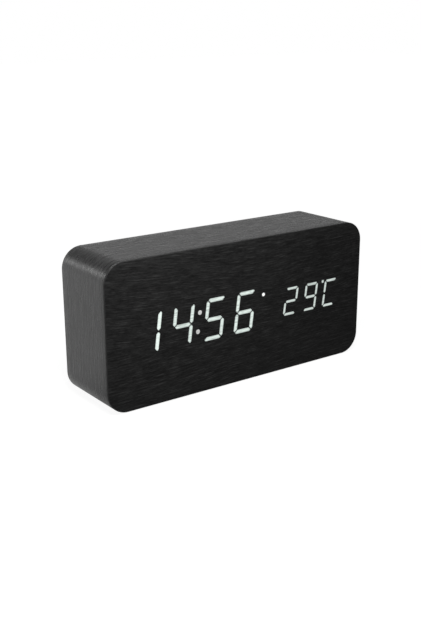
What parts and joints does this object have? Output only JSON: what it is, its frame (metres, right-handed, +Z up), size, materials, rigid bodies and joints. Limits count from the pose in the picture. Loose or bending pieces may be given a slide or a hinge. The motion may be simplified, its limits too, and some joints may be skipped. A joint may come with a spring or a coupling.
{
  "type": "digital desk clock",
  "caption": "Block-shaped digital desk clock wrapped in black wood-grain film, with slanted lit digits for time and temperature, rear buttons, a power socket and a hinged battery door.",
  "frame": {"origin": "under the middle of the case, on the surface that the feet stand on", "axes": "+X to the right seen from the front, along the width; +Y from the display to the rear cover; +Z up"},
  "size_m": [0.15, 0.038, 0.07],
  "materials": {
    "film": "black film with a pressed wood grain, satin",
    "fibreboard": "raw medium-density fibreboard",
    "black_plastic": "moulded black plastic, fine texture",
    "rubber": "soft black rubber",
    "lit_diffuser": "milky plastic, lit cool white",
    "circuit_board": "green solder mask",
    "steel": "plated steel",
    "cream_plastic": "cream moulded plastic",
    "ribbon": "grey flat cable",
    "chip": "black moulded plastic",
    "sensor_bead": "brown lacquered bead",
    "red_wire": "red insulated wire",
    "cell_wrap": "plain blue shrink sleeve over a metal can"
  },
  "bodies": {
    "clock": {"front_film": "film", "perimeter_film": "film", "rear_film": "film", "case_body": "fibreboard", "display_housing": "black_plastic", "rear_cover": "black_plastic", "power_socket": "black_plastic", "buzzer": "black_plastic", "front_left_foot": "rubber", "front_right_foot": "rubber", "rear_left_foot": "rubber", "rear_right_foot": "rubber", "hour_tens_light": "lit_diffuser", "hour_units_light": "lit_diffuser", "colon_light": "lit_diffuser", "minute_tens_light": "lit_diffuser", "minute_units_light": "lit_diffuser", "alarm_dot_light": "lit_diffuser", "temperature_tens_light": "lit_diffuser", "temperature_units_light": "lit_diffuser", "degree_dot_light": "lit_diffuser", "celsius_light": "lit_diffuser", "display_board": "circuit_board", "main_board": "circuit_board", "display_screw_1": "steel", "display_screw_2": "steel", "display_screw_3": "steel", "display_screw_4": "steel", "cover_screw_1": "steel", "cover_screw_2": "steel", "cover_screw_3": "steel", "cover_screw_4": "steel", "main_board_screw_1": "steel", "main_board_screw_2": "steel", "battery_link_left": "steel", "battery_contact_minus": "steel", "battery_link_right": "steel", "battery_contact_plus": "steel", "set_switch": "steel", "up_switch": "steel", "down_switch": "steel", "microphone": "steel", "clock_crystal": "steel", "display_connector": "cream_plastic", "main_connector": "cream_plastic", "ribbon_cable": "ribbon", "controller_chip": "chip", "battery_lead_minus": "chip", "thermistor": "sensor_bead", "battery_lead_plus": "red_wire", "cell_1": "cell_wrap", "cell_2": "cell_wrap", "cell_3": "cell_wrap"},
    "set_button": {"set_button_cap": "black_plastic", "set_switch_plunger": "chip"},
    "up_button": {"up_button_cap": "black_plastic", "up_switch_plunger": "chip"},
    "down_button": {"down_button_cap": "black_plastic", "down_switch_plunger": "chip"},
    "battery_door": {"battery_door": "black_plastic"}
  },
  "joints": [
    {"name": "set_press", "type": "slide", "parent": "clock", "child": "set_button", "axis": [0, -1, 0], "range_m": [0, 0.0005], "stiffness_N_per_m": 300, "springref_m": -0.003},
    {"name": "up_press", "type": "slide", "parent": "clock", "child": "up_button", "axis": [0, -1, 0], "range_m": [0, 0.0005], "stiffness_N_per_m": 300, "springref_m": -0.003},
    {"name": "down_press", "type": "slide", "parent": "clock", "child": "down_button", "axis": [0, -1, 0], "range_m": [0, 0.0005], "stiffness_N_per_m": 300, "springref_m": -0.003},
    {"name": "battery_door_hinge", "type": "hinge", "parent": "clock", "child": "battery_door", "pos_m": [0.0585, 0.018, 0.0354], "axis": [0, 0, -1], "range_deg": [0, 75]}
  ]
}
